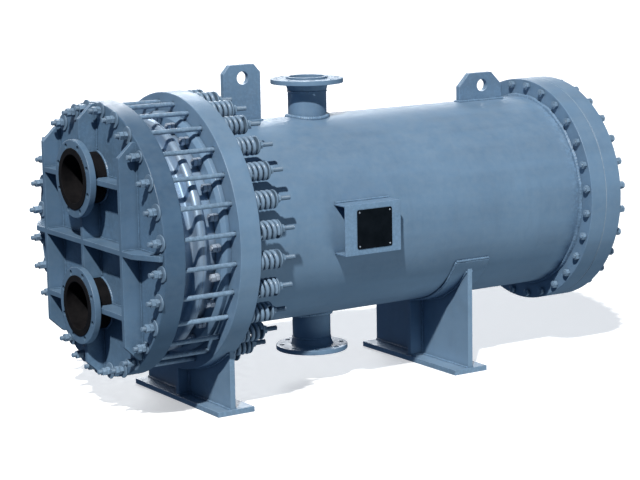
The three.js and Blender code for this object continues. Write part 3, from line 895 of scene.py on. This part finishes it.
def build_gland():
    tip, nose = GLAND
    face, back = GLAND_FRONT, SPRING_FLANGE[0] - FIT
    inner, outer = SKIRT_RADIUS + 1.5, STUFFING_BORE - 1.5
    outline = [
        (inner, face, 1),
        (GLAND_RADIUS - GLAND_CHAMFER[0], face, 2),
        (GLAND_RADIUS, face + GLAND_CHAMFER[1], 2),
        (GLAND_RADIUS, back, 1),
        (outer, back, 1),
        (outer, nose, 1),
        (inner, nose, 1),
    ]
    bm = bmesh.new()
    turned(bm, rounded(outline), BODY_SIDES)
    piece("fine_gland_follower", bm, [PAINT], SHELL, ["gland_follower"])

    bm = bmesh.new()
    for place in around(GLAND_STUDS, GLAND_CIRCLE, 0):
        stud(bm, [(tip - 3, face + 4, True), (face + 4, face + 14, False)], place)
        for near in (face - NUT_HEIGHT - FIT, face - 2 * NUT_HEIGHT - 4 * FIT):
            hex_nut(bm, near, place)
    piece("gland_studs", bm, [NUT_STEEL], SHELL)


def build_barrel():
    start, end = BARREL
    steps = 24
    places = [start + (end - start) * i / steps for i in range(steps + 1)]
    outside = [ring(SHELL_RADIUS, x, RIM_SIDES) for x in places]
    inside = [ring(SHELL_BORE, x, RIM_SIDES) for x in reversed(places)]
    bm = bmesh.new()
    loft(bm, outside + inside, closed=True)
    openings = bmesh.new()
    reach, radius = SHELL_RADIUS + 20, OIL_PIPE + 1
    outline = [(0, -reach), (radius, -reach), (radius, reach), (0, reach)]
    turned(openings, outline, 48, (OIL_X, 0), upright=True)
    piece("fine_shell_barrel", bm, [PAINT], SHELL, ["shell_barrel"], [openings])


def build_rear_joint():
    places = around(JOINT_BOLTS, JOINT_CIRCLE)
    start, end = JOINT
    outline = [
        (SHELL_BORE, start, 1),
        (JOINT_RADIUS, start, 3),
        (JOINT_RADIUS, end, 2),
        (SEAT_RADIUS, end, 1),
        (SEAT_RADIUS, start + SEAT_WALL, 1),
        (SHELL_BORE, start + SEAT_WALL, 1),
    ]
    bm = bmesh.new()
    turned(bm, rounded(outline), RIM_SIDES)
    holes = [holes_along_x(places, CLEARANCE_HOLE, start, COVER[1])]
    piece("fine_rear_shell_flange", bm, [PAINT], SHELL, ["rear_shell_flange"], holes)

    low, high = end + FIT, COVER[0] - FIT
    holes = [holes_along_x(places, CLEARANCE_HOLE - 1, low, high)]
    build_gasket("rear_gasket", JOINT_GASKET_RADIUS, low, high, SHELL, 0.5, RIM_SIDES, holes)

    start, end = COVER
    outline = [
        (0, start + COVER_DISH),
        (HEADER_BORE, start + COVER_DISH, 3),
        (HEADER_BORE, start, 1),
        (JOINT_RADIUS, start, 2),
        (JOINT_RADIUS, end, 4),
        (0, end),
    ]
    bm = bmesh.new()
    turned(bm, rounded(outline), RIM_SIDES)
    holes = [holes_along_x(places, CLEARANCE_HOLE, start, end)]
    piece("fine_rear_cover", bm, [PAINT], SHELL, ["rear_cover"], holes)

    bm = bmesh.new()
    front, rear = JOINT[0] - HAIRLINE, COVER[1] + HAIRLINE
    for place in places:
        tip = front - NUT_HEIGHT - dice.uniform(2, 4)
        tail = BOLTS[1] - dice.uniform(0, 2)
        stud(bm, [(tip, front, True), (front, rear, False), (rear, tail, True)], place)
        hex_nut(bm, front - NUT_HEIGHT, place)
        hex_nut(bm, rear, place)
        hex_nut(bm, rear + NUT_HEIGHT + FIT, place, JAM_NUT_HEIGHT)
    piece("fine_rear_flange_bolts", bm, [ROD_PAINT], SHELL, ["rear_flange_bolts"])


def build_oil_nozzle(node, side):
    root = SHELL_RADIUS - 28
    outline = [
        (OIL_BORE, root, 1),
        (OIL_PIPE, root, 1),
        (OIL_PIPE, OIL_NECK, 4),
        (OIL_PIPE + 7, OIL_BACK, 5),
        (OIL_FLANGE, OIL_BACK, 2),
        (OIL_FLANGE, OIL_FACE, 2),
        (OIL_FACE_RADIUS, OIL_FACE, 1),
        (OIL_FACE_RADIUS, OIL_LIP, 1.5),
        (OIL_BORE, OIL_LIP, 1.5),
    ]
    bm = bmesh.new()
    turned(bm, [(p.x, side * p.y) for p in rounded(outline)], 96, (OIL_X, 0), upright=True)
    low, high = sorted((side * (OIL_BACK - CUT_PAST), side * (OIL_FACE + CUT_PAST)))
    drill = [(0, low), (OIL_HOLE, low), (OIL_HOLE, high), (0, high)]
    holes = bmesh.new()
    for place in around(OIL_HOLES, OIL_HOLE_CIRCLE, centre=(OIL_X, 0)):
        turned(holes, drill, 24, place, upright=True)
    piece("fine_" + node, bm, [PAINT], SHELL, [node], [holes])


def build_lug(node):
    run, rise, (x, z, radius) = LUGS[node]
    (start, end), (near, far), (low, top) = (span(node, axis) for axis in range(3))
    outline = [
        (start, low),
        (end, low),
        (end, top - rise),
        (end - run, top),
        (start + run, top),
        (start, top - rise),
    ]
    half = (far - near) / 2
    bm = bmesh.new()
    upright_plate(bm, outline, -half, half)
    circle, deep = ring(radius, 0, 48), half + CUT_PAST
    eye = bmesh.new()
    loft(eye, [[Vector((x + p.y, y, z + p.z)) for p in circle] for y in (-deep, deep)])
    piece("fine_" + node, bm, [PAINT], SHELL, [node], [eye], bevel=1.6)


def build_nameplate():
    node = "nameplate_bracket"
    piece("fine_" + node, refined(node), [PAINT], SHELL, [node], bevel=1.4)

    node = "nameplate"
    (start, end), (front, back), (low, high) = (span(node, axis) for axis in range(3))
    corners = rounded([(start, low), (end, low), (end, high), (start, high)], 7, 5)
    bm = bmesh.new()
    upright_plate(bm, [tuple(p) for p in corners], front, back)
    piece("fine_" + node, bm, [BLACK_PLATE], SHELL, [node], bevel=0.4)

    inset = NAMEPLATE_SCREW_INSET
    bm = bmesh.new()
    for x in (start + inset, end - inset):
        for z in (low + inset, high - inset):
            rows = []
            for radius, out in SCREW_PROFILE:
                circle = ring(radius, 0, 14)
                rows.append([Vector((x + p.y, front + out, z + p.z)) for p in circle])
            loft(bm, rows)
    piece("nameplate_screws", bm, [NUT_STEEL], SHELL)


def build_supports():
    for node in SADDLE_WEBS:
        piece("fine_" + node, refined(node), [SADDLE_PAINT], SHELL, [node], bevel=1.8)

    start, end = span("rear_wear_plate")
    inner = SHELL_RADIUS + FIT
    outer = inner + WEAR_PLATE_THICK
    section = [(start, inner), (end, inner), (end, outer), (start, outer)]
    first, last = WEAR_PLATE_ARC
    rows, steps = [], 60
    for i in range(steps + 1):
        angle = math.radians(first + (last - first) * i / steps)
        y, z = math.cos(angle), math.sin(angle)
        rows.append([Vector((x, r * y, r * z)) for x, r in section])
    bm = bmesh.new()
    loft(bm, rows)
    piece("fine_rear_wear_plate", bm, [PAINT], SHELL, ["rear_wear_plate"], bevel=1.2)


# ---- Welds ----


def on_shell(side):
    """The shell's height at a distance to the side of its middle, or the other way round."""
    return math.sqrt(SHELL_RADIUS**2 - side * side)


def build_shell_welds():
    bm = bmesh.new()
    bead(bm, arc(SHELL_RADIUS + 1.5, SPRING_FLANGE[1] + 1.5), 6, True)
    bead(bm, arc(SHELL_RADIUS + 1, JOINT[0] - 1), 9, True, ripple=11, rough=0.03)

    for side in (1, -1):
        foot = []
        for p in ring(OIL_PIPE + 2, 0, 96, (OIL_X, 0), upright=True):
            foot.append((p.x, p.y, side * (on_shell(p.y) + 1.5)))
        bead(bm, foot, 8, True, UPWARD, 8)
        neck = ring(OIL_PIPE + 0.2, side * (OIL_NECK - 1), 72, (OIL_X, 0), upright=True)
        bead(bm, neck, 2.6, True, UPWARD, 5)

    for node in LUGS:
        start, end = span(node)
        y = LUG_THICK / 2 + 2
        z = on_shell(y) + 1
        foot = [(start - 2, -y, z), (end + 2, -y, z), (end + 2, y, z), (start - 2, y, z)]
        bead(bm, foot, 5, True, UPWARD)

    start, end = span("nameplate_bracket")
    low, high = span("nameplate_bracket", 2)
    for z in (low - 2, high + 2):
        y = -on_shell(z) - 1.5
        bead(bm, [(start + 3, y, z), (end - 3, y, z)], 4, False, UPWARD)

    start, end = span("rear_wear_plate")
    first, last = WEAR_PLATE_ARC
    r = SHELL_RADIUS + 3
    for x in (start - 1, end + 1):
        bead(bm, arc(r, x, first, last), 4.5)
    for angle in (math.radians(first - 0.6), math.radians(last + 0.6)):
        y, z = r * math.cos(angle), r * math.sin(angle)
        bead(bm, [(start, y, z), (end, y, z)], 4.5, False, UPWARD)

    build_saddle_welds(bm)
    piece("shell_welds", bm, [PAINT], SHELL)


def build_saddle_welds(bm):
    base = FLOOR + FOOT_THICK
    for node, (web, carried) in SADDLE_WEBS.items():
        start, end = span(node)
        reach = math.degrees(math.asin(SADDLE_HALF_WIDTH / carried))
        for x in (web - 1, web + WEB_THICK + 1):
            bead(bm, arc(carried + 1, x, -90 - reach, -90 + reach), 5)
            for low, high in ((-FOOT_HALF_WIDTH, -12), (12, FOOT_HALF_WIDTH)):
                bead(bm, [(x, low, base + 1), (x, high, base + 1)], 4.5, False, UPWARD)
            for y in (-STAY_HALF_THICK - 1.5, STAY_HALF_THICK + 1.5):
                bead(bm, [(x, y, base + 3), (x, y, -carried - 3)], 4, False, ACROSS)
        for y in (-STAY_HALF_THICK - 1.5, STAY_HALF_THICK + 1.5):
            for low, high in ((start + 10, web - 3), (web + WEB_THICK + 3, end - 10)):
                bead(bm, [(low, y, base + 1), (high, y, base + 1)], 4.5, False, UPWARD)


def build_head_welds():
    """Small beads where ribs meet the plate (2.2) and each other (2.0), and round the nozzles."""
    bm = bmesh.new()
    out = RIB_THICK / 2 + 1.5
    on_plate, tip = -1.5, -RIB_DEPTH + 2
    for y in (-RIB_OFFSET, RIB_OFFSET):
        for side in (-out, out):
            for low, high in ((-RIB_HALF_HEIGHT, -12), (12, RIB_HALF_HEIGHT)):
                bead(bm, [(on_plate, y + side, low), (on_plate, y + side, high)], 2.2)
            for z in (-out, out):
                bead(bm, [(tip, y + side, z), (-4, y + side, z)], 2.0, False, ACROSS)

    past_rib, short_of_rib = RIB_OFFSET + 13, RIB_OFFSET - 13
    for z in (-out, out):
        for low, high in (
            (-438, -past_rib),
            (-short_of_rib, -13),
            (13, short_of_rib),
            (past_rib, 438),
        ):
            bead(bm, [(on_plate, low, z), (on_plate, high, z)], 2.2)

    pipe, rib = NOZZLE_PIPE + 8, RIB_OFFSET - 11
    for side in (1, -1):
        middle = side * NOZZLE_HEIGHT
        bead(bm, arc(NOZZLE_PIPE + 1, -1, centre=(0, middle)), 4, True)
        for y in (-out, out):
            outer_rib = (middle + side * pipe, side * (NOZZLE_RIB_END - 2))
            inner_rib = (12 * side, middle - side * pipe)
            for low, high in (outer_rib, inner_rib):
                bead(bm, [(on_plate, y, low), (on_plate, y, high)], 2.2)
        for z in (middle - out, middle + out):
            for low, high in ((-rib, -NOZZLE_PIPE - 4), (NOZZLE_PIPE + 4, rib)):
                bead(bm, [(on_plate, low, z), (on_plate, high, z)], 2.2)
            for y in (-rib, rib):
                bead(bm, [(tip, y, z), (-4, y, z)], 2.0, False, ACROSS)
    piece("head_welds", bm, [RIB_PAINT], HEAD)


# ---- Inside, shown as packed ----


def finish_inside():
    for names, material in (
        (("pass_partition", "rear_tubesheet", "front_baffle", "rear_baffle"), STEEL),
        (("tube_bundle",), BRASS),
        (("packing_ring",), PACKING),
    ):
        for name in names:
            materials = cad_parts[name].data.materials
            materials.clear()
            materials.append(material)


build_clamp_plate()
build_ribs()
build_water_nozzle("upper_water_nozzle", 1)
build_water_nozzle("lower_water_nozzle", -1)
build_header()
build_tie_rods()
build_springs()
build_spring_flange()
build_gland()
build_barrel()
build_rear_joint()
build_oil_nozzle("top_oil_nozzle", 1)
build_oil_nozzle("bottom_oil_nozzle", -1)
for lug in LUGS:
    build_lug(lug)
build_nameplate()
build_supports()
build_shell_welds()
build_head_welds()
finish_inside()


# ---- Studio ----

CAMERA_PLACE = (-3.8121, -5.9065, 1.7198)
CAMERA_AZIMUTH, CAMERA_ELEVATION, CAMERA_ROLL = (math.radians(a) for a in (-32.47, 10.02, -1.07))
CAMERA_LENS = 114.8
SUN_TRAVEL = (0.46, 0.52, -0.72)
GROUND_TRAVEL = (-0.40, 0.58, 0.71)
BACK_TRAVEL = (-0.30, -0.78, -0.45)
PANEL_PLACE, PANEL_TRAVEL = (1.5, 9, 3.2), (-0.1, -1, -0.25)


def add_camera():
    level_share = math.cos(CAMERA_ELEVATION)
    back = Vector(
        (
            math.sin(CAMERA_AZIMUTH) * level_share,
            -math.cos(CAMERA_AZIMUTH) * level_share,
            math.sin(CAMERA_ELEVATION),
        )
    )
    level = UPWARD.cross(back).normalized()
    above = back.cross(level)
    right = level * math.cos(CAMERA_ROLL) + above * math.sin(CAMERA_ROLL)
    up = above * math.cos(CAMERA_ROLL) - level * math.sin(CAMERA_ROLL)
    data = bpy.data.cameras.new("camera")
    data.lens, data.sensor_width = CAMERA_LENS, 36
    camera = bpy.data.objects.new("camera", data)
    turn = Matrix((right, up, back)).transposed().to_4x4()
    camera.matrix_world = Matrix.Translation(CAMERA_PLACE) @ turn
    bpy.context.scene.collection.objects.link(camera)
    bpy.context.scene.camera = camera


def add_floor():
    """A pale floor that takes shadows and lights nothing, as the sky and ground lights do that."""
    bpy.ops.mesh.primitive_plane_add(size=60, location=(0, 0, 0))
    floor = bpy.context.object
    floor.name = "floor"
    floor.data.materials.append(floor_stuff())
    floor.visible_diffuse = floor.visible_glossy = floor.visible_shadow = False


def add_light(kind, name, energy, towards, place=(0, 0, 0), **settings):
    data = bpy.data.lights.new(name, kind)
    data.energy = energy
    for key, value in settings.items():
        setattr(data, key, value)
    light = bpy.data.objects.new(name, data)
    light.location = place
    light.rotation_mode = "QUATERNION"
    light.rotation_quaternion = Vector(towards).to_track_quat("-Z", "Y")
    bpy.context.scene.collection.objects.link(light)
    return light


def add_sun(name, energy, towards, softness, color):
    return add_light("SUN", name, energy, towards, angle=math.radians(softness), color=color)


def light_studio():
    world = bpy.data.worlds.new("studio")
    world.use_nodes = True
    sky = world.node_tree.nodes["Background"].inputs
    sky["Color"].default_value = (0.42, 0.64, 1.0, 1)
    sky["Strength"].default_value = 0.13
    bpy.context.scene.world = world
    add_sun("key", 3.9, SUN_TRAVEL, 2, (1.0, 0.98, 0.94))
    ground = add_sun("ground", 1.2, GROUND_TRAVEL, 40, (1.0, 1.0, 0.92))
    ground.visible_glossy = False
    add_sun("back_fill", 1.5, BACK_TRAVEL, 30, (0.92, 0.96, 1.0))
    shape = {"shape": "RECTANGLE", "size": 16, "size_y": 3.2}
    panel = add_light("AREA", "back_panel", 280, PANEL_TRAVEL, PANEL_PLACE, **shape)
    panel.visible_diffuse = panel.visible_camera = False
    bpy.context.scene.view_settings.view_transform = "Standard"


add_camera()
add_floor()
light_studio()
